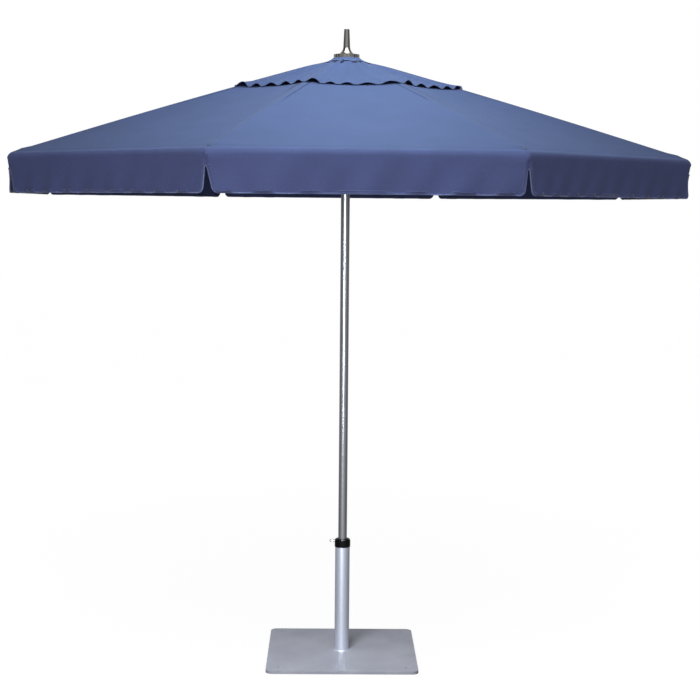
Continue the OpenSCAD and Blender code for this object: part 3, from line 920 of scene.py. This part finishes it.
def top_cap():
    turns = np.linspace(0, 2 * math.pi, 145)
    share = np.concatenate([np.linspace(-1.1, 0, 6)[:-1], np.linspace(0, 1, 14)])
    share, turn = np.meshgrid(share, turns, indexing="ij")
    skirt = np.clip(share, 0, 1)
    radius = np.where(share < 0, CAP_FLAT * (1 + share * 0.8),
                      CAP_FLAT + (CAP_R - CAP_FLAT) * skirt)
    up = CAP_TOP - (CAP_TOP - CAP_HEM) * skirt ** 0.9
    wave = 0.7 * np.sin(3 * turn + 0.7) + 0.5 * np.sin(7 * turn + 2.1) + 0.3 * np.sin(13 * turn)
    up = up + wave * MM * skirt ** 2
    aside = (turn - DART + math.pi) % (2 * math.pi) - math.pi
    fold = np.exp(-(aside / DART_WIDE) ** 2) * skirt
    radius, up = radius + 4 * MM * fold, up - 4 * MM * fold * skirt
    points = np.stack([radius * np.cos(turn), radius * np.sin(turn), up], -1)
    piece = sheet("top_cap_cloth", points, np.stack([turn * CAP_R, radius], -1), "mast")
    normals = surface_normals(points)
    border, proud = points[-1], normals[-1]
    across = np.cross(proud, directions(border))
    hem = ribbon("top_cap_hem", border, across, proud, HEM_VENT, "mast", hem_canvas)
    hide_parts("top_cap")


top_cap()
print(f"top cap {2 * CAP_R / MM:.0f} mm across")

# %% [markdown]
# ## Floor, light and camera
# The studio is a plain pale floor and soft light. The floor glows, as a lit studio floor does, so
# it stays pale under a wide umbrella. It is hidden from bounced and mirrored rays, or it would
# glow up into the canopy. The room is dim to the sides and brighter in front and behind, and
# that draws the long stripes on round metal. A camera ray sees plain white whichever way it
# looks, so every view has the same background.

# %% Floor and room
FLOOR_GLOW = 0.93
FLOOR_SIZE = 60
ROOM = {"sides": 0.06, "front": 0.35, "back": 0.45, "above": 0.08}


def floor():
    bpy.ops.mesh.primitive_plane_add(size=FLOOR_SIZE, location=(0, 0, 0))
    plane = bpy.context.object
    plane.name = "studio_floor"
    paint = finish("lit_white_floor", {"Roughness": 0.9, "Emission Color": linear("#FFFFFF"),
                                       "Emission Strength": FLOOR_GLOW},
                   colour=lambda tree: ramp(tree, noise_of(tree, 700), [(0.3, "#9A9A9A"),
                                                                        (0.7, "#9E9E9E")]))
    plane.data.materials.append(paint)
    plane.visible_diffuse = plane.visible_glossy = False


def room_light(tree):
    """The room's brightness by direction: each share is a squared part of the direction."""
    direction = add_node(tree, "SeparateXYZ",
                         links={"Vector": add_node(tree, "TexCoord").outputs["Generated"]})
    total = None
    for axis, turn, share in (("X", 1, ROOM["sides"]), ("Z", 1, ROOM["above"]),
                              ("Y", -1, ROOM["front"]), ("Y", 1, ROOM["back"])):
        part = add_node(tree, "Math", {"operation": "MULTIPLY"})
        tree.links.new(direction.outputs[axis], part.inputs[0])
        part.inputs[1].default_value = turn
        if axis == "Y":
            half = add_node(tree, "Math", {"operation": "MAXIMUM"})
            tree.links.new(part.outputs["Value"], half.inputs[0])
            half.inputs[1].default_value = 0
            part = half
        square = add_node(tree, "Math", {"operation": "MULTIPLY"})
        for place in (0, 1):
            tree.links.new(part.outputs["Value"], square.inputs[place])
        scaled = add_node(tree, "Math", {"operation": "MULTIPLY_ADD"})
        tree.links.new(square.outputs["Value"], scaled.inputs[0])
        scaled.inputs[1].default_value = share
        scaled.inputs[2].default_value = 0
        if total:
            tree.links.new(total.outputs["Value"], scaled.inputs[2])
        total = scaled
    return total.outputs["Value"]


def room():
    world = bpy.data.worlds.new("studio")
    world.use_nodes = True
    tree = world.node_tree
    background = tree.nodes["Background"]
    background.inputs["Color"].default_value = linear("#FFFFFF")
    seen = add_node(tree, "LightPath").outputs["Is Camera Ray"]
    strength = add_node(tree, "Math", {"operation": "MAXIMUM"})
    tree.links.new(seen, strength.inputs[0])
    tree.links.new(room_light(tree), strength.inputs[1])
    tree.links.new(strength.outputs["Value"], background.inputs["Strength"])
    bpy.context.scene.world = world


floor()
room()
print("room brightness:", ROOM)

# %% [markdown]
# ## Lamps
# One wide lamp hangs above and in front and lights everything. The others are linked to a
# collection each, and they light only the pieces in it, as a studio keeps light off the rest
# with black cards. Small lamps close over the canopy light only the canvas, so their light
# falls off towards the sides. Tall strip lamps light the pole and the stem, and their
# reflections are the highlights.

# %% Lamps
canopy_only = bpy.data.collections.new("lit_by_canopy_lamps")
for piece in bpy.context.scene.objects:
    if piece.name.startswith(("canopy_side", "vent_", "rib_seam", "top_cap_")):
        canopy_only.objects.link(piece)
base_only = bpy.data.collections.new("lit_by_base_lamp")
plate_only = bpy.data.collections.new("lit_by_plate_lamp")
pole_only = bpy.data.collections.new("lit_by_pole_lamp")
finial_only = bpy.data.collections.new("lit_by_finial_lamp")
valances_only = bpy.data.collections.new("lit_by_valance_lamp")
for group, names in ((base_only, ("stem_tube", "stem_weld", "clamp_screw")),
                     (pole_only, ("pole",)),
                     (plate_only, ("base_plate", "stem_weld")),
                     (finial_only, ("finial", "finial_disc"))):
    for name in names:
        group.objects.link(frame["nodes"][name])
for piece in bpy.context.scene.objects:
    if piece.name.startswith(("valance_cloth", "valance_hem")):
        valances_only.objects.link(piece)
        canopy_only.objects.link(piece)


def soft_light(name, place, aim, size, watts, tint="#FFFFFF", only=None):
    lamp = bpy.data.lights.new(name, "AREA")
    lamp.shape, lamp.size, lamp.size_y, lamp.energy = "RECTANGLE", size[0], size[1], watts
    lamp.color = linear(tint)[:3]
    holder = bpy.data.objects.new(name, lamp)
    holder.location = place
    holder.rotation_euler = (Vector(aim) - Vector(place)).to_track_quat("-Z", "Y").to_euler()
    holder.visible_camera = False
    if only:
        holder.light_linking.receiver_collection = only
    bpy.context.collection.objects.link(holder)


soft_light("overhead", (0, -2.6, 4.8), (0, -0.6, 2.2), (4.0, 2.0), 60, "#FFF9FC")
soft_light("rim_lamp", (0, -1.5, 3.1), (0, -0.9, 2.15), (0.7, 0.4), 16, "#DFFFFB", canopy_only)
soft_light("crown_lamp", (0.15, -0.3, 3.4), (0, -0.4, 2.3), (0.7, 0.4), 21, "#DFFFFB",
           canopy_only)
soft_light("valance_lamp", (-1.3, -2.4, 1.7), (-0.3, -1.2, 1.96), (0.6, 0.3), 6, "#FFFFFF",
           valances_only)
soft_light("valance_fill", (0.3, -7.5, 2.2), (0, 0, 1.9), (3.0, 2.0), 225, "#FFFAFA",
           valances_only)
soft_light("base_lamp", (-0.45, -2.6, 1.5), (0, 0, 0.7), (0.3, 1.6), 190, "#FAFBFF", base_only)
soft_light("pole_lamp", (-0.45, -2.6, 1.5), (0, 0, 0.9), (0.2, 1.6), 42, "#E6EEFF", pole_only)
soft_light("plate_lamp", (-0.4, -1.6, 1.75), (0, 0, 0), (0.8, 0.5), 50, "#F6F9FF", plate_only)
soft_light("back_lamp", (0, 3.0, 3.2), (0, 0.8, 2.2), (1.4, 0.6), 12, "#F2FFFC", canopy_only)
soft_light("finial_lamp", (0.1, -0.3, 3.9), (0, 0, 2.5), (1.6, 1.6), 14, "#FFFDF8", finial_only)
bpy.context.scene.view_settings.view_transform = "Standard"
bpy.context.scene.view_settings.look = "None"

# %% [markdown]
# ## Camera
# The camera stands a little over six metres away at about eye height and looks slightly down, with
# a short telephoto lens. From that far, the near and far sides of the canopy keep natural
# proportions.

# %% Camera
SENSOR_MM, LENS_MM = 36, 77.7
camera = bpy.data.objects.new("camera", bpy.data.cameras.new("camera"))
camera.data.sensor_width = SENSOR_MM
camera.data.lens = LENS_MM
camera.data.clip_end = 100
PLACE = Vector((-0.056, -6.156, 1.857))
YAW, TILT, ROLL = math.radians(-0.745), math.radians(-5.47), math.radians(0.51)
camera.matrix_world = (Matrix.Translation(PLACE) @ Matrix.Rotation(YAW, 4, "Z")
                       @ Matrix.Rotation(math.pi / 2 + TILT, 4, "X")
                       @ Matrix.Rotation(ROLL, 4, "Z"))
bpy.context.collection.objects.link(camera)
bpy.context.scene.camera = camera
print("camera at", [round(v, 2) for v in camera.location])
